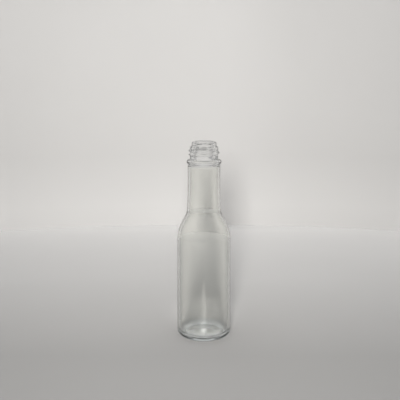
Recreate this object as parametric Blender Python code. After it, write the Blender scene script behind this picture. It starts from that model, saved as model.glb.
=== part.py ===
"""An empty glass sauce bottle: tall neck, bead and screw finish, standing on its base.

Named sizes are in millimetres and the meshes in metres. Z is the bottle's own axis, and the
origin lies in the middle of the base, level with the ring that the bottle stands on.
"""

import math

import bmesh
import bpy
import numpy as np

MM = 0.001

# The whole bottle
HEIGHT = 168.6
SECTORS = 60
CURVE_ERROR = 0.04

# Base: a ring to stand on round a shallow dome, inside the rounded heel
BODY_RADIUS = 23.25
HEEL_ROUND = 5.5
RING_WIDTH = 1.5
DOME_RISE = 1.6

# Shoulder and neck, each corner as radius, height and rounding
SHOULDER = (22.8, 93.9, 32.0)
NECK_FOOT = (14.6, 108.3, 5.0)
NECK_WAIST = (13.9, 127.0, 80.0)
NECK_RADIUS = 13.8

# Bead under the thread
BEAD_RADIUS = 14.65
BEAD_MIDDLE = 151.8
BEAD_HEIGHT = 4.2
BEAD_ROUND = 2.0

# Screw finish: a plain wall that carries the thread, then a narrower lip
FINISH_RADIUS = 11.85
FINISH_FOOT_ROUND = 0.5
LIP_RADIUS = 10.4
LIP_FOOT = 165.5
LIP_STEP = 1.0
LIP_STEP_ROUND = 0.5
LIP_ROUND = 0.9

# Thread: a rounded right-hand ridge that fades into the wall at both ends
THREAD_RADIUS = 13.05
THREAD_PITCH = 3.3
THREAD_TURNS = 1.5
THREAD_START_ANGLE = 153.0
THREAD_START_HEIGHT = 157.7
THREAD_HALF_WIDTH = 1.35
THREAD_FADE_ANGLE = 30.0
THREAD_SINK = 0.35
THREAD_STEPS = 6

# Hollow: bore, neck and body, each corner as radius, height and rounding
BORE_RADIUS = 7.3
BORE_END = (BORE_RADIUS, 157.5, 5.0)
INNER_NECK_TOP = (11.6, 149.5, 5.0)
INNER_NECK_WAIST = (11.8, 127.0, 60.0)
INNER_NECK_FOOT = (12.6, 107.3, 8.0)
INNER_SHOULDER = (20.6, 92.7, 29.0)
INNER_BODY_RADIUS = 20.95
INNER_CORNER_ROUND = 4.2
FLOOR_EDGE_HEIGHT = 3.6
FLOOR_RISE = 0.5


def arc(centre, radius, start, end):
    """Points of an arc in the outline's plane, as many as keep its chords true."""
    step = 2 * math.acos(1 - CURVE_ERROR / radius)
    count = max(1, math.ceil(abs(end - start) / step))
    angles = np.linspace(start, end, count + 1)
    return [centre + radius * np.array((math.cos(a), math.sin(a))) for a in angles]


def rounded(before, corner, rounding, after):
    """The arc that rounds a corner between the points before and after it."""
    to_before = (before - corner) / np.linalg.norm(before - corner)
    to_after = (after - corner) / np.linalg.norm(after - corner)
    half = math.acos(np.clip(to_before @ to_after, -1, 1)) / 2
    inward = (to_before + to_after) / np.linalg.norm(to_before + to_after)
    centre = corner + inward * rounding / math.sin(half)
    first = corner + to_before * rounding / math.tan(half) - centre
    last = corner + to_after * rounding / math.tan(half) - centre
    start = math.atan2(first[1], first[0])
    turn = math.atan2(first[0] * last[1] - first[1] * last[0], first @ last)
    return arc(centre, rounding, start, start + turn)


def rounded_line(corners):
    """The points of a line through corners given as radius, height and rounding."""
    places = [np.array(corner[:2], float) for corner in corners]
    points = [places[0]]
    for index in range(1, len(corners) - 1):
        points += rounded(places[index - 1], places[index], corners[index][2], places[index + 1])
    return points + [places[-1]]


def dome(edge_radius, edge_height, rise):
    """A shallow round cap from its middle on the axis out to its edge."""
    radius = (edge_radius**2 + rise**2) / (2 * rise)
    centre = np.array((0.0, edge_height + rise - radius))
    edge_angle = math.asin((radius - rise) / radius)
    return arc(centre, radius, math.pi / 2, edge_angle)


def bead():
    """The bead's round section, from the neck's surface to the foot of the finish."""
    round_radius = BEAD_RADIUS - BEAD_ROUND
    half_flat = BEAD_HEIGHT / 2 - BEAD_ROUND
    neck_angle = -math.acos((NECK_RADIUS - round_radius) / BEAD_ROUND)
    lower = arc(np.array((round_radius, BEAD_MIDDLE - half_flat)), BEAD_ROUND, neck_angle, 0)
    upper = arc(np.array((round_radius, BEAD_MIDDLE + half_flat)), BEAD_ROUND, 0, math.pi / 2)
    return lower + upper


def outer_outline():
    """The outside of the glass, from under the base up to the top of the lip."""
    ring_outer = BODY_RADIUS - HEEL_ROUND
    base = dome(ring_outer - RING_WIDTH, 0, DOME_RISE)
    body = rounded_line(
        [(ring_outer - RING_WIDTH, 0), (BODY_RADIUS, 0, HEEL_ROUND), SHOULDER, NECK_FOOT, NECK_WAIST]
        + [(NECK_RADIUS, BEAD_MIDDLE)]
    )
    bead_top = BEAD_MIDDLE + BEAD_HEIGHT / 2
    middle_of_lip = (LIP_RADIUS + BORE_RADIUS) / 2
    finish = rounded_line(
        [
            (BEAD_RADIUS - BEAD_ROUND, bead_top),
            (FINISH_RADIUS, bead_top, FINISH_FOOT_ROUND),
            (FINISH_RADIUS, LIP_FOOT - LIP_STEP, LIP_STEP_ROUND),
            (LIP_RADIUS, LIP_FOOT, LIP_STEP_ROUND),
            (LIP_RADIUS, HEIGHT, LIP_ROUND),
            (middle_of_lip, HEIGHT),
        ]
    )
    return base + body[1:-1] + bead() + finish[1:-1]


def inner_outline():
    """The inside of the glass, from the top of the lip down to the middle of the floor."""
    floor_edge = INNER_BODY_RADIUS - INNER_CORNER_ROUND
    wall = rounded_line(
        [
            ((LIP_RADIUS + BORE_RADIUS) / 2, HEIGHT),
            (BORE_RADIUS, HEIGHT, LIP_ROUND),
            BORE_END,
            INNER_NECK_TOP,
            INNER_NECK_WAIST,
            INNER_NECK_FOOT,
            INNER_SHOULDER,
            (INNER_BODY_RADIUS, FLOOR_EDGE_HEIGHT, INNER_CORNER_ROUND),
            (floor_edge, FLOOR_EDGE_HEIGHT),
        ]
    )
    return wall[1:-1] + dome(floor_edge, FLOOR_EDGE_HEIGHT, FLOOR_RISE)[::-1]


def without_repeats(points):
    """The outline with each point that lies on the one before it left out."""
    kept = [points[0]]
    for point in points[1:]:
        if np.linalg.norm(point - kept[-1]) > CURVE_ERROR:
            kept.append(point)
    return kept


def mesh_object(name, mesh_data, material):
    """A smooth-shaded object made from a bmesh, which is freed."""
    bmesh.ops.recalc_face_normals(mesh_data, faces=mesh_data.faces)
    mesh = bpy.data.meshes.new(name)
    mesh_data.to_mesh(mesh)
    mesh_data.free()
    mesh.shade_smooth()
    mesh.set_sharp_from_angle(angle=math.radians(35))
    mesh.materials.append(material)
    made = bpy.data.objects.new(name, mesh)
    bpy.context.collection.objects.link(made)
    return made


def turned_bottle(material):
    """The bottle without its thread: one closed outline turned round the axis."""
    outline = without_repeats(outer_outline() + inner_outline())
    data = bmesh.new()
    corners = [data.verts.new((radius * MM, 0, height * MM)) for radius, height in outline]
    for lower, upper in zip(corners, corners[1:]):
        data.edges.new((lower, upper))
    bmesh.ops.spin(
        data,
        geom=data.verts[:] + data.edges[:],
        cent=(0, 0, 0),
        axis=(0, 0, 1),
        angle=2 * math.pi,
        steps=SECTORS,
        use_merge=True,
    )
    bmesh.ops.remove_doubles(data, verts=data.verts, dist=0.001 * MM)
    return mesh_object("bottle", data, material)


def thread_section(angle_along, angle_total):
    """Radius and height of the ridge's arched section, lower near the thread's two ends."""
    to_end = min(angle_along, angle_total - angle_along)
    share = min(1.0, to_end / math.radians(THREAD_FADE_ANGLE))
    fade = share * share * (3 - 2 * share)
    buried = FINISH_RADIUS - THREAD_SINK
    rise = THREAD_SINK / 2 + (THREAD_RADIUS - FINISH_RADIUS + THREAD_SINK / 2) * fade
    middle = THREAD_START_HEIGHT + THREAD_PITCH * angle_along / (2 * math.pi)
    places = np.linspace(-1, 1, THREAD_STEPS + 1)
    return [
        (buried + rise * math.cos(place * math.pi / 2), middle + place * THREAD_HALF_WIDTH)
        for place in places
    ]


def thread_ridge(material):
    """The thread as a closed ridge that winds up the finish, sunk a little into its wall."""
    total = THREAD_TURNS * 2 * math.pi
    count = round(THREAD_TURNS * SECTORS)
    data = bmesh.new()
    sections = []
    for along in np.linspace(0, total, count + 1):
        angle = math.radians(THREAD_START_ANGLE) + along
        sections.append(
            [
                data.verts.new((radius * math.cos(angle) * MM, radius * math.sin(angle) * MM, height * MM))
                for radius, height in thread_section(along, total)
            ]
        )
    for section, following in zip(sections, sections[1:]):
        for corner in range(len(section)):
            beside = (corner + 1) % len(section)
            data.faces.new((section[corner], section[beside], following[beside], following[corner]))
    data.faces.new(sections[0])
    data.faces.new(sections[-1])
    ridge = mesh_object("thread-ridge", data, material)
    ridge.display_type = "WIRE"
    ridge.hide_render = True
    return ridge


def clear_glass():
    """Clear flint glass, nearly smooth and with a faint cool cast."""
    material = bpy.data.materials.new("clear-glass")
    material.use_nodes = True
    surface = material.node_tree.nodes["Principled BSDF"]
    surface.inputs["Base Color"].default_value = (0.86, 0.89, 0.88, 1)
    surface.inputs["Metallic"].default_value = 0.0
    surface.inputs["Roughness"].default_value = 0.04
    surface.inputs["IOR"].default_value = 1.52
    surface.inputs["Transmission Weight"].default_value = 1.0
    return material


def main():
    for old in list(bpy.data.objects):
        bpy.data.objects.remove(old)
    glass = clear_glass()
    bottle = turned_bottle(glass)
    union = bottle.modifiers.new("thread", "BOOLEAN")
    union.operation = "UNION"
    union.object = thread_ridge(glass)


main()
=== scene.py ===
import math

import bmesh
import bpy
import numpy as np
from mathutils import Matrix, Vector


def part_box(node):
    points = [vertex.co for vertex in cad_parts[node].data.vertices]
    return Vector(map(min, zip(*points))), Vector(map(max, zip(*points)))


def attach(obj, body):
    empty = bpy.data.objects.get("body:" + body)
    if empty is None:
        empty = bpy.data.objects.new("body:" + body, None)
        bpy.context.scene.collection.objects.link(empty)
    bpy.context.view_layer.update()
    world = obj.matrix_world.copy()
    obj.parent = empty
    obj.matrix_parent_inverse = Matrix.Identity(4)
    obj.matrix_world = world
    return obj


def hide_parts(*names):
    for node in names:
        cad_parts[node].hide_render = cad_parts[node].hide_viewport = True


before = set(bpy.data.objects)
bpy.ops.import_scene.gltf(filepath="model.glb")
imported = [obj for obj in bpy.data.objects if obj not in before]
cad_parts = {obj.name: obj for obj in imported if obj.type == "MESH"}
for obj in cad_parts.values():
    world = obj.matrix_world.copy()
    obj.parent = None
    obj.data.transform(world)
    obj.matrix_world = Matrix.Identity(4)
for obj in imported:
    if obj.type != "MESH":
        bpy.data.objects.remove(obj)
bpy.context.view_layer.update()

MM = 0.001
PHOTO_PIXELS = 400

# Sizes of the glass in millimetres, as the part has them, with corners as radius, height and rounding
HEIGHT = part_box("bottle")[1].z / MM
BODY_RADIUS = 23.25
HEEL_ROUND = 5.5
RING_WIDTH = 1.5
RING_INNER_RADIUS = BODY_RADIUS - HEEL_ROUND - RING_WIDTH
DOME_RISE = 1.6
SHOULDER = (22.8, 93.9, 32.0)
# The neck's foot is rounded more widely than in the part, which moves its surface by less than 0.2 mm
NECK_FOOT = (14.6, 108.3, 10.0)
NECK_WAIST = (13.9, 127.0, 80.0)
NECK_RADIUS = 13.8
BEAD_RADIUS = 14.65
BEAD_MIDDLE = 151.8
BEAD_HEIGHT = 4.2
BEAD_TOP = BEAD_MIDDLE + BEAD_HEIGHT / 2
BEAD_ROUND = 2.0
FINISH_RADIUS = 11.85
FINISH_FOOT_ROUND = 0.5
LIP_RADIUS = 10.4
LIP_FOOT = 165.5
LIP_STEP = 1.0
LIP_STEP_ROUND = 0.5
LIP_ROUND = 0.9
BORE_RADIUS = 7.3
MIDDLE_OF_LIP = (LIP_RADIUS + BORE_RADIUS) / 2
BORE_END = (BORE_RADIUS, 157.5, 5.0)
INNER_NECK_TOP = (11.6, 149.5, 5.0)
INNER_NECK_WAIST = (11.8, 127.0, 60.0)
# This corner too is rounded more widely than in the part
INNER_NECK_FOOT = (12.6, 107.3, 12.2)
INNER_SHOULDER = (20.6, 92.7, 29.0)
INNER_BODY_RADIUS = 20.95
INNER_CORNER_ROUND = 4.2
FLOOR_EDGE_HEIGHT = 3.6
FLOOR_RISE = 0.5

# How finely the glass is cut: columns round the axis, and rows along the outline in millimetres
COLUMNS = 288
CURVE_ERROR = 0.006
ROW_HEIGHT = 3.0
THREAD_ROW_HEIGHT = 0.2
THREAD_ROWS_DEPTH = 0.1
PARTING_ROW_HEIGHT = 0.12
PARTING_ROWS_REACH = 0.9
INNER_FINISH_ROW_HEIGHT = 0.7

# The thread, as the part has it: lengths in metres
THREAD = {
    "Wall Radius": FINISH_RADIUS * MM,
    "Crest Radius": 13.05 * MM,
    "Pitch": 3.3 * MM,
    "Turns": 1.5,
    "Start Angle": math.radians(153),
    "Start Height": 157.7 * MM,
    "Half Width": 1.35 * MM,
    "Fade Turns": 30 / 360,
    "Sink": 0.35 * MM,
}
# Its foot is blended into the wall, and only points this near the wall are raised
THREAD_FOOT_BLEND = 0.2 * MM
NEAR_WALL = 0.05 * MM

# How the moulding shows on the glass: lengths in metres, waves faint enough to stay in the part's box
MOULDING = {
    "Outer Wave": 0.012 * MM,
    "Inner Wave": 0.09 * MM,
    "Wave Width": 11.0 * MM,
    "Wave Length": 30.0 * MM,
    "Finish Wave": 0.05 * MM,
    "Finish Wave Width": 5.0 * MM,
    "Finish Wave Length": 2.4 * MM,
    "Finish Foot": 148.0 * MM,
    "Seam Rise": 0.07 * MM,
    "Seam Width": 0.4 * MM,
    "Seam Foot": 3.0 * MM,
    "Parting Height": 148.6 * MM,
    "Parting Rise": 0.07 * MM,
    "Parting Width": 0.2 * MM,
    "Knurl Depth": 0.1 * MM,
    "Knurl Radius": 17.0 * MM,
    "Knurl Width": 1.6 * MM,
    "Knurls": 72.0,
    "Seed": 7.0,
}
OUTSIDE_SEED_STEP = 10.0
WAVE_DETAIL = 1.5
LONG_WAVE_CUT_IN_FINISH = 0.7

# The camera stands where the photograph was taken from: eye height, distance and tilt
CAMERA_HEIGHT = 242.2 * MM
CAMERA_DISTANCE = 630.7 * MM
CAMERA_TILT = math.radians(11.04)
FOCAL_PIXELS = 760
BOTTLE_RIGHT_OF_MIDDLE = 3.4 * MM
SENSOR_WIDTH = 36.0


def new_object(name, data):
    """An object that holds the data, placed in the scene."""
    made = bpy.data.objects.new(name, data)
    bpy.context.scene.collection.objects.link(made)
    return made


# Outline of the glass

def arc(centre, radius, start, end):
    """Points of an arc in the outline's plane, as many as keep its chords true."""
    step = 2 * math.acos(1 - CURVE_ERROR / radius)
    count = max(1, math.ceil(abs(end - start) / step))
    angles = np.linspace(start, end, count + 1)
    return [centre + radius * np.array((math.cos(a), math.sin(a))) for a in angles]


def rounded(before, corner, rounding, after):
    """The arc that rounds a corner between the points before and after it."""
    to_before = (before - corner) / np.linalg.norm(before - corner)
    to_after = (after - corner) / np.linalg.norm(after - corner)
    half = math.acos(np.clip(to_before @ to_after, -1, 1)) / 2
    inward = (to_before + to_after) / np.linalg.norm(to_before + to_after)
    centre = corner + inward * rounding / math.sin(half)
    first = corner + to_before * rounding / math.tan(half) - centre
    last = corner + to_after * rounding / math.tan(half) - centre
    start = math.atan2(first[1], first[0])
    turn = math.atan2(first[0] * last[1] - first[1] * last[0], first @ last)
    return arc(centre, rounding, start, start + turn)


def rounded_line(corners):
    """The points of a line through corners given as radius, height and rounding."""
    places = [np.array(corner[:2], float) for corner in corners]
    points = [places[0]]
    for index in range(1, len(corners) - 1):
        points += rounded(places[index - 1], places[index], corners[index][2], places[index + 1])
    return points + [places[-1]]


def dome(edge_radius, edge_height, rise):
    """A shallow round cap from its middle on the axis out to its edge."""
    radius = (edge_radius**2 + rise**2) / (2 * rise)
    centre = np.array((0.0, edge_height + rise - radius))
    edge_angle = math.asin((radius - rise) / radius)
    return arc(centre, radius, math.pi / 2, edge_angle)


def bead():
    """The bead's round section, from the neck's surface to the foot of the finish."""
    round_radius = BEAD_RADIUS - BEAD_ROUND
    half_flat = BEAD_HEIGHT / 2 - BEAD_ROUND
    neck_angle = -math.acos((NECK_RADIUS - round_radius) / BEAD_ROUND)
    lower = arc(np.array((round_radius, BEAD_MIDDLE - half_flat)), BEAD_ROUND, neck_angle, 0)
    upper = arc(np.array((round_radius, BEAD_MIDDLE + half_flat)), BEAD_ROUND, 0, math.pi / 2)
    return lower + upper


def outer_outline():
    """The outside of the glass, from under the base up to the top of the lip."""
    base = dome(RING_INNER_RADIUS, 0, DOME_RISE)
    body = rounded_line(
        [
            (RING_INNER_RADIUS, 0),
            (BODY_RADIUS, 0, HEEL_ROUND),
            SHOULDER,
            NECK_FOOT,
            NECK_WAIST,
            (NECK_RADIUS, BEAD_MIDDLE),
        ]
    )
    finish = rounded_line(
        [
            (BEAD_RADIUS - BEAD_ROUND, BEAD_TOP),
            (FINISH_RADIUS, BEAD_TOP, FINISH_FOOT_ROUND),
            (FINISH_RADIUS, LIP_FOOT - LIP_STEP, LIP_STEP_ROUND),
            (LIP_RADIUS, LIP_FOOT, LIP_STEP_ROUND),
            (LIP_RADIUS, HEIGHT, LIP_ROUND),
            (MIDDLE_OF_LIP, HEIGHT),
        ]
    )
    return base + body[1:-1] + bead() + finish[1:-1]


def inner_outline():
    """The inside of the glass, from the top of the lip down to the middle of the floor."""
    floor_edge = INNER_BODY_RADIUS - INNER_CORNER_ROUND
    wall = rounded_line(
        [
            (MIDDLE_OF_LIP, HEIGHT),
            (BORE_RADIUS, HEIGHT, LIP_ROUND),
            BORE_END,
            INNER_NECK_TOP,
            INNER_NECK_WAIST,
            INNER_NECK_FOOT,
            INNER_SHOULDER,
            (INNER_BODY_RADIUS, FLOOR_EDGE_HEIGHT, INNER_CORNER_ROUND),
            (floor_edge, FLOOR_EDGE_HEIGHT),
        ]
    )
    return wall[1:-1] + dome(floor_edge, FLOOR_EDGE_HEIGHT, FLOOR_RISE)[::-1]


def cut_into_rows(points, longest_at):
    """The same line with each stretch divided so that no row is longer than it may be there."""
    rows = [points[0]]
    for point in points[1:]:
        start = rows[-1]
        length = np.linalg.norm(point - start)
        if length < CURVE_ERROR:
            continue
        middle = (start + point) / 2
        count = max(1, math.ceil(length / longest_at(middle)))
        rows += [start + (point - start) * step / count for step in range(1, count + 1)]
    return rows


def longest_row_outside(point):
    """Fine rows where the thread rises from the wall and where the moulds parted on the neck."""
    radius, height = point
    if radius > FINISH_RADIUS - THREAD_ROWS_DEPTH and height > BEAD_TOP:
        return THREAD_ROW_HEIGHT
    if abs(height - MOULDING["Parting Height"] / MM) < PARTING_ROWS_REACH:
        return PARTING_ROW_HEIGHT
    return ROW_HEIGHT


def longest_row_inside(point):
    """Finer rows inside the finish, where the waves are short."""
    return INNER_FINISH_ROW_HEIGHT if point[1] > MOULDING["Finish Foot"] / MM else ROW_HEIGHT


def glass_outline():
    """All rows of the glass, and for each whether it is on the outside."""
    outside = cut_into_rows(outer_outline(), longest_row_outside)
    inside = cut_into_rows(inner_outline(), longest_row_inside)
    return outside + inside, [1.0] * len(outside) + [0.0] * len(inside)


# Building node trees

# A Mix node shares its names between kinds, so its colour sockets are taken by place
MIX_SHARE = 0
MIX_FIRST_COLOUR = 6
MIX_SECOND_COLOUR = 7
MIXED_COLOUR = 2


def node(tree, kind, inputs=(), **settings):
    """A node with its settings, and its inputs linked or set by name or place."""
    made = tree.nodes.new(kind)
    for name, value in settings.items():
        setattr(made, name, value)
    for key, value in dict(inputs).items():
        if isinstance(value, bpy.types.NodeSocket):
            tree.links.new(value, made.inputs[key])
        else:
            made.inputs[key].default_value = value
    return made


def calc(tree, operation, *values):
    """The output of a math node."""
    return node(tree, "ShaderNodeMath", enumerate(values), operation=operation).outputs[0]


def product(tree, first, *others):
    """Several values multiplied together."""
    for other in others:
        first = calc(tree, "MULTIPLY", first, other)
    return first


def step_between(tree, value, low, high, interpolation="LINEAR"):
    """A mask that rises from 0 to 1 while a value goes from low to high."""
    return node(
        tree,
        "ShaderNodeMapRange",
        {"Value": value, "From Min": low, "From Max": high},
        interpolation_type=interpolation,
    ).outputs["Result"]


def uneven_noise(tree, place, scale, detail, seed):
    """Noise between 0 and 1 from its own seed, with as many waves to a unit of place as its scale."""
    return node(
        tree,
        "ShaderNodeTexNoise",
        {"Vector": place, "W": seed, "Scale": scale, "Detail": detail},
        noise_dimensions="4D",
    ).outputs[0]


def blend(tree, share, first, second):
    """A colour between two others, each given as a colour or as a link."""
    inputs = {MIX_SHARE: share, MIX_FIRST_COLOUR: first, MIX_SECOND_COLOUR: second}
    return node(tree, "ShaderNodeMix", inputs, data_type="RGBA").outputs[MIXED_COLOUR]


def new_tree(name, kind, inputs, outputs):
    """An empty node tree with named inputs and outputs, and the sockets that its inputs give."""
    tree = bpy.data.node_groups.new(name, kind)
    for in_out, sockets in (("INPUT", inputs), ("OUTPUT", outputs)):
        for socket_name, socket_kind in sockets.items():
            tree.interface.new_socket(socket_name, in_out=in_out, socket_type=socket_kind)
    return tree, tree.nodes.new("NodeGroupInput").outputs


# Relief of the glass, each as a distance from the turned surface

def thread_height(tree, sizes, angle, height):
    """How far the thread stands out of the wall at an angle round the axis and a height."""
    turn = calc(tree, "DIVIDE", calc(tree, "SUBTRACT", angle, sizes["Start Angle"]), 2 * math.pi)
    climb = calc(tree, "DIVIDE", calc(tree, "SUBTRACT", height, sizes["Start Height"]), sizes["Pitch"])
    apart = calc(tree, "SUBTRACT", climb, turn)
    off_crest = calc(tree, "SUBTRACT", apart, calc(tree, "ROUND", apart))
    along = calc(tree, "SUBTRACT", climb, off_crest)
    to_end = calc(tree, "MINIMUM", along, calc(tree, "SUBTRACT", sizes["Turns"], along))
    fade = step_between(tree, to_end, 0.0, sizes["Fade Turns"], "SMOOTHSTEP")
    half_sink = calc(tree, "MULTIPLY", sizes["Sink"], 0.5)
    above_wall = calc(tree, "SUBTRACT", sizes["Crest Radius"], sizes["Wall Radius"])
    full = calc(tree, "ADD", above_wall, half_sink)
    rise = calc(tree, "ADD", calc(tree, "MULTIPLY", full, fade), half_sink)
    from_crest = calc(tree, "MULTIPLY", off_crest, sizes["Pitch"])
    across = calc(tree, "DIVIDE", from_crest, sizes["Half Width"])
    within = calc(tree, "MINIMUM", calc(tree, "ABSOLUTE", across), 1.0)
    arch = calc(tree, "COSINE", calc(tree, "MULTIPLY", within, math.pi / 2))
    above = calc(tree, "SUBTRACT", calc(tree, "MULTIPLY", rise, arch), sizes["Sink"])
    return calc(tree, "SMOOTH_MAX", above, 0.0, THREAD_FOOT_BLEND)


def bell(tree, distance, width):
    """1 in the middle of a line and falling smoothly to 0 beside it."""
    share = calc(tree, "DIVIDE", distance, width)
    return calc(tree, "EXPONENT", product(tree, share, share, -1.0))


def waves(tree, position, width, length, seed):
    """Faint uneven waves between -1 and 1, as wide and as long as given."""
    across = calc(tree, "DIVIDE", 1.0, width)
    upwards = calc(tree, "DIVIDE", 1.0, length)
    stretch = node(tree, "ShaderNodeCombineXYZ", {"X": across, "Y": across, "Z": upwards}).outputs[0]
    place = node(tree, "ShaderNodeVectorMath", {0: position, 1: stretch}, operation="MULTIPLY").outputs[0]
    noise = uneven_noise(tree, place, 1.0, WAVE_DETAIL, seed)
    return calc(tree, "MULTIPLY_ADD", noise, 2.0, -1.0)


def wave_depth(tree, sizes, position, height, outside):
    """How far the waves move the wall: long ones all over, and short ones inside the finish."""
    seed = calc(tree, "MULTIPLY_ADD", outside, OUTSIDE_SEED_STEP, sizes["Seed"])
    long_waves = waves(tree, position, sizes["Wave Width"], sizes["Wave Length"], seed)
    short_waves = waves(tree, position, sizes["Finish Wave Width"], sizes["Finish Wave Length"], seed)
    outer_extra = calc(tree, "SUBTRACT", sizes["Outer Wave"], sizes["Inner Wave"])
    size = calc(tree, "MULTIPLY_ADD", outside, outer_extra, sizes["Inner Wave"])
    inside = calc(tree, "SUBTRACT", 1.0, outside)
    in_finish = calc(tree, "MULTIPLY", calc(tree, "GREATER_THAN", height, sizes["Finish Foot"]), inside)
    long_share = calc(tree, "MULTIPLY_ADD", in_finish, -LONG_WAVE_CUT_IN_FINISH, 1.0)
    long_depth = product(tree, long_waves, size, long_share)
    short_depth = product(tree, short_waves, sizes["Finish Wave"], in_finish)
    return calc(tree, "ADD", long_depth, short_depth)


def mould_lines(tree, sizes, place, outside):
    """The two upright seams of the body mould, and the ring where it met the neck mould."""
    above_foot = calc(tree, "GREATER_THAN", place["Z"], sizes["Seam Foot"])
    seam = product(tree, bell(tree, place["Y"], sizes["Seam Width"]), sizes["Seam Rise"], above_foot)
    from_ring = calc(tree, "SUBTRACT", place["Z"], sizes["Parting Height"])
    ring = product(tree, bell(tree, from_ring, sizes["Parting Width"]), sizes["Parting Rise"])
    return calc(tree, "MULTIPLY", calc(tree, "MAXIMUM", seam, ring), outside)


def knurl_lift(tree, sizes, angle, radius, height, outside):
    """How far the foot ring is raised between its knurls, whose crests stand on the table."""
    turn = calc(tree, "COSINE", calc(tree, "MULTIPLY", angle, sizes["Knurls"]))
    hollow = calc(tree, "MULTIPLY_ADD", turn, -0.5, 0.5)
    on_ring = bell(tree, calc(tree, "SUBTRACT", radius, sizes["Knurl Radius"]), sizes["Knurl Width"])
    low = calc(tree, "MULTIPLY", calc(tree, "LESS_THAN", height, sizes["Seam Foot"]), outside)
    return product(tree, hollow, on_ring, sizes["Knurl Depth"], low)


# The glass as one turned shape

RAIL_RADIUS = BODY_RADIUS * MM
MERGE_DISTANCE = 0.001 * MM


def turned_surface(tree, sizes):
    """The outline turned round the axis, with its two ends on the axis closed."""
    profile = node(tree, "GeometryNodeMeshToCurve", {"Mesh": sizes["Geometry"]}).outputs[0]
    circle_sizes = {"Resolution": sizes["Columns"], "Radius": sizes["Rail Radius"]}
    circle = node(tree, "GeometryNodeCurvePrimitiveCircle", circle_sizes).outputs[0]
    rail = node(tree, "GeometryNodeSetCurveNormal", {"Curve": circle}, mode="Z_UP").outputs[0]
    turned = node(tree, "GeometryNodeCurveToMesh", {"Curve": rail, "Profile Curve": profile}).outputs[0]
    merge = {"Geometry": turned, "Distance": MERGE_DISTANCE}
    return node(tree, "GeometryNodeMergeByDistance", merge).outputs[0]


def relief_offset(tree, sizes):
    """How each point moves: outwards by thread, waves and seams, and upwards between the knurls."""
    position = node(tree, "GeometryNodeInputPosition").outputs[0]
    place = node(tree, "ShaderNodeSeparateXYZ", {0: position}).outputs
    angle = calc(tree, "ARCTAN2", place["Y"], place["X"])
    flat = node(tree, "ShaderNodeCombineXYZ", {"X": place["X"], "Y": place["Y"]}).outputs[0]
    radius = node(tree, "ShaderNodeVectorMath", {0: flat}, operation="LENGTH").outputs["Value"]
    outward = node(tree, "ShaderNodeVectorMath", {0: flat}, operation="NORMALIZE").outputs[0]
    named = {"Name": "outside"}
    outside = node(tree, "GeometryNodeInputNamedAttribute", named, data_type="FLOAT").outputs[0]

    near_wall = calc(tree, "COMPARE", radius, sizes["Wall Radius"], NEAR_WALL)
    thread = product(tree, thread_height(tree, sizes, angle, place["Z"]), product(tree, near_wall, outside))
    waved = wave_depth(tree, sizes, position, place["Z"], outside)
    relief = calc(tree, "ADD", waved, mould_lines(tree, sizes, place, outside))
    room = calc(tree, "MULTIPLY", calc(tree, "ADD", sizes["Seam Rise"], sizes["Outer Wave"]), outside)
    on_side = calc(tree, "GREATER_THAN", place["Z"], sizes["Seam Foot"])
    relief = calc(tree, "MULTIPLY", calc(tree, "SUBTRACT", relief, room), on_side)

    out_by = {0: outward, "Scale": calc(tree, "ADD", thread, relief)}
    shift = node(tree, "ShaderNodeVectorMath", out_by, operation="SCALE").outputs[0]
    up_by = {"Z": knurl_lift(tree, sizes, angle, radius, place["Z"], outside)}
    lift = node(tree, "ShaderNodeCombineXYZ", up_by).outputs[0]
    return node(tree, "ShaderNodeVectorMath", {0: shift, 1: lift}, operation="ADD").outputs[0]


def turned_glass_tree():
    """Turns the outline round the axis, raises the thread and gives the glass its marks of moulding."""
    inputs = {
        "Geometry": "NodeSocketGeometry",
        "Columns": "NodeSocketInt",
        "Rail Radius": "NodeSocketFloat",
        "Material": "NodeSocketMaterial",
    }
    inputs.update({name: "NodeSocketFloat" for name in (*THREAD, *MOULDING)})
    outputs = {"Geometry": "NodeSocketGeometry"}
    tree, sizes = new_tree("turned-glass", "GeometryNodeTree", inputs, outputs)
    moved = {"Geometry": turned_surface(tree, sizes), "Offset": relief_offset(tree, sizes)}
    glass = node(tree, "GeometryNodeSetPosition", moved).outputs[0]
    real = node(tree, "GeometryNodeRealizeInstances", {"Geometry": glass}).outputs[0]
    dressed = {"Geometry": real, "Material": sizes["Material"]}
    node(tree, "NodeGroupOutput", {0: node(tree, "GeometryNodeSetMaterial", dressed).outputs[0]})
    return tree


def mesh_by_nodes(name, source, tree, values):
    """A plain mesh object made by running a geometry tree on a source object, which is removed."""
    modifier = source.modifiers.new(tree.name, "NODES")
    modifier.node_group = tree
    inputs = [item for item in tree.interface.items_tree if item.in_out == "INPUT"]
    identifiers = {item.name: item.identifier for item in inputs}
    for label, value in values.items():
        modifier[identifiers[label]] = value
    evaluated = source.evaluated_get(bpy.context.evaluated_depsgraph_get())
    mesh = bpy.data.meshes.new_from_object(evaluated)
    mesh.name = name
    made = new_object(name, mesh)
    bpy.data.objects.remove(source)
    return made


def outline_object(points, outside):
    """The outline as a mesh of edges, laid where the turning circle expects it."""
    mesh = bpy.data.meshes.new("bottle-outline")
    places = [(radius * MM - RAIL_RADIUS, -height * MM, 0) for radius, height in points]
    mesh.from_pydata(places, [(index, index + 1) for index in range(len(places) - 1)], [])
    layer = mesh.attributes.new("outside", "FLOAT", "POINT")
    layer.data.foreach_set("value", outside)
    return new_object("bottle-outline", mesh)


def face_outwards(piece):
    """Turns a closed mesh's faces so that all of them point out of the glass."""
    data = bmesh.new()
    data.from_mesh(piece.data)
    bmesh.ops.recalc_face_normals(data, faces=data.faces)
    if data.calc_volume(signed=True) < 0:
        bmesh.ops.reverse_faces(data, faces=data.faces)
    data.to_mesh(piece.data)
    data.free()
    piece.data.shade_smooth()


# The glass's finish

GLASS_IOR = 1.52
# What a long way through the glass takes from the light
DEPTH_COLOUR = (0.45, 0.55, 0.55, 1)
DEPTH_DENSITY = 4.5
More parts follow.
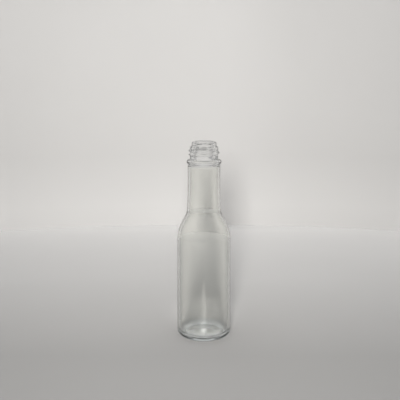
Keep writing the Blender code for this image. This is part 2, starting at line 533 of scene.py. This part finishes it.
# Places along the glass, in metres up from its foot, where its tint changes
FOOT_TOP = (4.0 * MM, 8.0 * MM)
FINISH_START = (145.0 * MM, 152.0 * MM)
FOOT_TINT = (0.935, 0.978, 1.0, 1)
BODY_TINT = (0.98, 0.98, 0.958, 1)
BODY_TINT_UNEVEN = (0.96, 0.967, 0.948, 1)
FINISH_TINT = (1, 1, 1, 1)
# The rim of each shape is darker, where the glass is seen edge on: painted shade for the glass's dark
# outlines
PAINTED_EDGE_SHADE = (0.08, 0.10, 0.10, 1)
PAINTED_EDGE_BLEND = 0.5
PAINTED_EDGE_POWER = 3.4
# How strong the noise is where handling marks begin and where they are full
HANDLING_MARKS = (0.48, 0.72)
MARKED_ROUGHNESS = 0.035
# Noises as waves to a metre, detail and seed
TINT_NOISE = (60.0, 2.0, 3.0)
HANDLING_NOISE = (90.0, 4.0, 8.0)


def glass_tint_and_painted_edge_shade(tree, place):
    """Nearly white, a little uneven on the body, cooler in the foot, and with painted shade where seen edge
    on.
    """
    height = node(tree, "ShaderNodeSeparateXYZ", {0: place}).outputs["Z"]
    tint = blend(tree, uneven_noise(tree, place, *TINT_NOISE), BODY_TINT_UNEVEN, BODY_TINT)
    tint = blend(tree, step_between(tree, height, *FOOT_TOP, "SMOOTHSTEP"), FOOT_TINT, tint)
    tint = blend(tree, step_between(tree, height, *FINISH_START, "SMOOTHSTEP"), tint, FINISH_TINT)
    # Painted shade: the colour darkens towards the rims, where the glass is seen edge on
    facing = node(tree, "ShaderNodeLayerWeight", {"Blend": PAINTED_EDGE_BLEND}).outputs["Facing"]
    return blend(tree, calc(tree, "POWER", facing, PAINTED_EDGE_POWER), tint, PAINTED_EDGE_SHADE)


def clear_flint_glass():
    """Clear flint glass: smooth and refracting, with a few faint handling marks."""
    material = bpy.data.materials.new("clear-flint-glass")
    material.use_nodes = True
    tree = material.node_tree
    surface = tree.nodes["Principled BSDF"]
    surface.inputs["Metallic"].default_value = 0.0
    surface.inputs["IOR"].default_value = GLASS_IOR
    surface.inputs["Transmission Weight"].default_value = 1.0
    place = node(tree, "ShaderNodeTexCoord").outputs["Object"]
    # The base colour carries the glass's tint and the painted shade at its rims
    tree.links.new(glass_tint_and_painted_edge_shade(tree, place), surface.inputs["Base Color"])
    handled = uneven_noise(tree, place, *HANDLING_NOISE)
    marks = step_between(tree, handled, *HANDLING_MARKS, "SMOOTHSTEP")
    tree.links.new(calc(tree, "MULTIPLY", marks, MARKED_ROUGHNESS), surface.inputs["Roughness"])
    absorbed = {"Color": DEPTH_COLOUR, "Density": DEPTH_DENSITY}
    depth = node(tree, "ShaderNodeVolumeAbsorption", absorbed).outputs[0]
    tree.links.new(depth, tree.nodes["Material Output"].inputs["Volume"])
    return material


def bottle():
    """The glass bottle itself, which stands for the part's plain solid."""
    points, outside = glass_outline()
    source = outline_object(points, outside)
    values = {"Columns": COLUMNS, "Rail Radius": RAIL_RADIUS, "Material": clear_flint_glass()}
    values.update({**THREAD, **MOULDING})
    glass = mesh_by_nodes("bottle-glass", source, turned_glass_tree(), values)
    face_outwards(glass)
    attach(glass, "root")
    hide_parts("bottle")


# The papers of the stage

PAPER_ROUGHNESS = 0.9
PAPER_SPECULAR = 0.2
PAPER_UNEVENNESS = 0.05
TOOTH_STRENGTH = 0.08
TOOTH_DEPTH = 0.2 * MM
# Noises as waves to a metre, detail and seed
CLOUD_NOISE = (9.0, 3.0, 1.0)
TOOTH_NOISE = (900.0, 2.0, 2.0)
# The table top's tones from front to back, each with its place in metres: painted light and shade, darkest
# just in front of the bottle and lighter towards the wall
TABLE_TONES_WITH_PAINTED_LIGHT = (
    (-0.45, 0.64),
    (-0.2, 0.43),
    (-0.13, 0.366),
    (-0.05, 0.391),
    (0.16, 0.622),
    (0.33, 0.775),
    (0.374, 0.827),
    (0.395, 0.857),
    (0.42, 0.843),
)
# The wall's tones from the table up, each with its place in metres: painted light, mostly lighter upwards
WALL_TONES_WITH_PAINTED_LIGHT = ((0.0, 0.525), (0.03, 0.55), (0.1, 0.53), (0.19, 0.585), (0.3, 0.65))
# Shares of the wall's tone, by degrees round the bottle to the right of straight behind it: painted shade
# darkens it to the right within the view, and painted light makes it paler beside and behind the view
WALL_PAINTED_FALLOFF_IN_VIEW = ((-34, 1.0), (4, 1.0), (18, 0.935), (34, 0.92))
WALL_PAINTED_LIGHT_PAST_VIEW = ((42, 1.15), (52, 1.15), (64, 1.4), (100, 1.4), (170, 1.5))


def paper_grain():
    """A group that gives any paper its cloudy tone and its fine tooth."""
    inputs = {"Place": "NodeSocketVector", "Tone": "NodeSocketFloat", "Unevenness": "NodeSocketFloat"}
    outputs = {"Colour": "NodeSocketColor", "Tooth": "NodeSocketFloat"}
    group, given = new_tree("paper-grain", "ShaderNodeTree", inputs, outputs)
    clouds = uneven_noise(group, given["Place"], *CLOUD_NOISE)
    tooth = uneven_noise(group, given["Place"], *TOOTH_NOISE)
    uneven = calc(group, "MULTIPLY", calc(group, "SUBTRACT", clouds, 0.5), given["Unevenness"])
    tone = calc(group, "MULTIPLY", given["Tone"], calc(group, "ADD", uneven, 1.0))
    grey = {"Red": tone, "Green": tone, "Blue": tone}
    colour = node(group, "ShaderNodeCombineColor", grey).outputs[0]
    node(group, "NodeGroupOutput", {"Colour": colour, "Tooth": tooth})
    return group


def graded(tree, value, stops):
    """A tone that goes in straight lines through stops of value and tone."""
    tone = stops[0][1]
    for (low, low_tone), (high, high_tone) in zip(stops, stops[1:]):
        share = step_between(tree, value, low, high)
        tone = calc(tree, "MULTIPLY_ADD", share, high_tone - low_tone, tone)
    return tone


def table_tone_with_painted_light(tree, place):
    """Painted light and shade on the table: darkest just in front of the bottle, and lighter towards the
    wall and the camera.
    """
    return graded(tree, place["Y"], TABLE_TONES_WITH_PAINTED_LIGHT)


def wall_tone_with_painted_light(tree, place):
    """Painted light and shade on the wall: mostly lighter upwards, darker to the right, and paler beside
    and behind the camera's view.
    """
    around = calc(tree, "ARCTAN2", place["X"], place["Y"])
    painted_light_left_of_view = [(-degrees, share) for degrees, share in reversed(WALL_PAINTED_LIGHT_PAST_VIEW)]
    painted_light_shares = [*painted_light_left_of_view, *WALL_PAINTED_FALLOFF_IN_VIEW, *WALL_PAINTED_LIGHT_PAST_VIEW]
    stops = [(math.radians(degrees), share) for degrees, share in painted_light_shares]
    return calc(tree, "MULTIPLY", graded(tree, place["Z"], WALL_TONES_WITH_PAINTED_LIGHT), graded(tree, around, stops))


def matt_paper(name, grain, tone_and_painted_light_at):
    """Matt paper whose tone, painted light and shade included, is worked out from its own coordinates."""
    material = bpy.data.materials.new(name)
    material.use_nodes = True
    tree = material.node_tree
    surface = tree.nodes["Principled BSDF"]
    surface.inputs["Roughness"].default_value = PAPER_ROUGHNESS
    surface.inputs["Specular IOR Level"].default_value = PAPER_SPECULAR
    place = node(tree, "ShaderNodeTexCoord").outputs["Object"]
    parts = node(tree, "ShaderNodeSeparateXYZ", {0: place}).outputs
    # The tone passed in carries painted light and shade
    given = {"Place": place, "Tone": tone_and_painted_light_at(tree, parts), "Unevenness": PAPER_UNEVENNESS}
    paper = node(tree, "ShaderNodeGroup", given, node_tree=grain).outputs
    tree.links.new(paper["Colour"], surface.inputs["Base Color"])
    bump = {"Height": paper["Tooth"], "Strength": TOOTH_STRENGTH, "Distance": TOOTH_DEPTH}
    tree.links.new(node(tree, "ShaderNodeBump", bump).outputs[0], surface.inputs["Normal"])
    return material


# Stage, in metres

STAGE_MIDDLE = (0.0, -0.6, 0.0)
STAGE_RADIUS = 1.025
WALL_HEIGHT = 1.2
STAGE_SIDES = 160


def stage_piece(name, data, material):
    """A part of the floor or backdrop, set round the middle of the stage."""
    bmesh.ops.translate(data, verts=data.verts, vec=STAGE_MIDDLE)
    mesh = bpy.data.meshes.new(name)
    data.to_mesh(mesh)
    data.free()
    mesh.shade_smooth()
    mesh.materials.append(material)
    new_object(name, mesh)


def table_top(grain):
    """The pale round table that the bottle stands on."""
    data = bmesh.new()
    bmesh.ops.create_circle(data, cap_ends=True, radius=STAGE_RADIUS, segments=STAGE_SIDES)
    # The table paper's tone carries painted light and shade
    stage_piece("table-top", data, matt_paper("table-paper", grain, table_tone_with_painted_light))


def wall(grain):
    """A pale round wall that stands on the table's edge, on every side."""
    data = bmesh.new()
    bmesh.ops.create_cone(
        data,
        cap_ends=False,
        radius1=STAGE_RADIUS,
        radius2=STAGE_RADIUS,
        depth=WALL_HEIGHT,
        segments=STAGE_SIDES,
    )
    bmesh.ops.translate(data, verts=data.verts, vec=(0, 0, WALL_HEIGHT / 2))
    bmesh.ops.reverse_faces(data, faces=data.faces)
    # The wall paper's tone carries painted light and shade
    stage_piece("wall", data, matt_paper("wall-paper", grain, wall_tone_with_painted_light))


# Light, camera and picture: lengths in metres, power in watts, angles of the lights in degrees

AIR_COLOUR = (0.98, 0.99, 1.0, 1)
AIR_STRENGTH = 0.49
KEY_COLOUR = (1.0, 0.965, 0.922)
WARM_LIGHT = (1.0, 0.965, 0.92)
MIDDLE_OF_BOTTLE = (0, 0, 0.085)
BEHIND_BOTTLE = (-0.05, 0.3, 0.1)
GLASS_BOUNCES = 32
GLOSSY_BOUNCES = 12
DIFFUSE_BOUNCES = 4


def area_light(name, shape, size, power, colour, spread):
    """A flat light that the glass doesn't mirror or show."""
    lamp = bpy.data.lights.new(name, "AREA")
    lamp.shape = shape
    lamp.size = size
    lamp.energy = power
    lamp.color = colour
    lamp.spread = math.radians(spread)
    made = new_object(name, lamp)
    made.visible_glossy = False
    made.visible_transmission = False
    return made


def soft_light(name, aim, azimuth, elevation, distance, size, power, colour, spread):
    """A square light that looks at its aim, from degrees to the right of the front and upwards."""
    made = area_light(name, "SQUARE", size, power, colour, spread)
    around = math.radians(azimuth)
    up = math.radians(elevation)
    level = math.cos(up)
    back = Vector((math.sin(around) * level, -math.cos(around) * level, math.sin(up)))
    made.location = Vector(aim) + back * distance
    made.rotation_mode = "QUATERNION"
    made.rotation_quaternion = (-back).to_track_quat("-Z", "Y")
    return made


def gathered_light(name, width, near, far, height, power, spread):
    """Light that the glass gathers on the table: a soft oval patch from near to far."""
    made = area_light(name, "ELLIPSE", width, power, WARM_LIGHT, spread)
    made.data.size_y = far - near
    made.data.use_shadow = False
    made.location = (0, (near + far) / 2, height)
    made.visible_camera = False


def lights():
    """Even light from the air, a soft key, a fill without shadows, and the light the glass gathers."""
    world = bpy.data.worlds.new("studio-air")
    world.use_nodes = True
    air = world.node_tree.nodes["Background"].inputs
    air["Color"].default_value = AIR_COLOUR
    air["Strength"].default_value = AIR_STRENGTH
    bpy.context.scene.world = world
    soft_light(
        "key-light",
        aim=MIDDLE_OF_BOTTLE,
        azimuth=-2.8,
        elevation=16.2,
        distance=1.2,
        size=0.18,
        power=2.25,
        colour=KEY_COLOUR,
        spread=60,
    )
    fill = soft_light(
        "fill-light",
        aim=BEHIND_BOTTLE,
        azimuth=-8,
        elevation=22,
        distance=1.6,
        size=0.9,
        power=1.05,
        colour=WARM_LIGHT,
        spread=100,
    )
    fill.data.use_shadow = False
    gathered_light("glow-behind", width=0.05, near=0.02, far=0.1, height=0.22, power=0.0024, spread=12)
    gathered_light("streak-behind", width=0.006, near=0.022, far=0.15, height=0.05, power=0.00034, spread=3)
    gathered_light("spot-under", width=0.0055, near=-0.001, far=0.024, height=0.03, power=0.0024, spread=2)
    gathered_light("glow-under", width=0.038, near=-0.018, far=0.026, height=0.22, power=0.0049, spread=3)


def camera():
    """The camera at the photograph's viewing angle, in front of the bottle and looking down a little."""
    data = bpy.data.cameras.new("camera")
    data.sensor_width = SENSOR_WIDTH
    data.lens = FOCAL_PIXELS * SENSOR_WIDTH / PHOTO_PIXELS
    made = new_object("camera", data)
    made.location = (-BOTTLE_RIGHT_OF_MIDDLE, -CAMERA_DISTANCE, CAMERA_HEIGHT)
    made.rotation_euler = (math.pi / 2 - CAMERA_TILT, 0, 0)
    bpy.context.scene.camera = made


def picture_settings():
    """Plain tones, and enough bounces for light to get through both walls of the glass."""
    scene = bpy.context.scene
    scene.view_settings.view_transform = "Standard"
    scene.cycles.use_denoising = True
    scene.cycles.max_bounces = GLASS_BOUNCES
    scene.cycles.transmission_bounces = GLASS_BOUNCES
    scene.cycles.glossy_bounces = GLOSSY_BOUNCES
    scene.cycles.diffuse_bounces = DIFFUSE_BOUNCES
    scene.cycles.caustics_refractive = True
    scene.cycles.caustics_reflective = True


camera()
picture_settings()
lights()
grain = paper_grain()
table_top(grain)
wall(grain)
bottle()
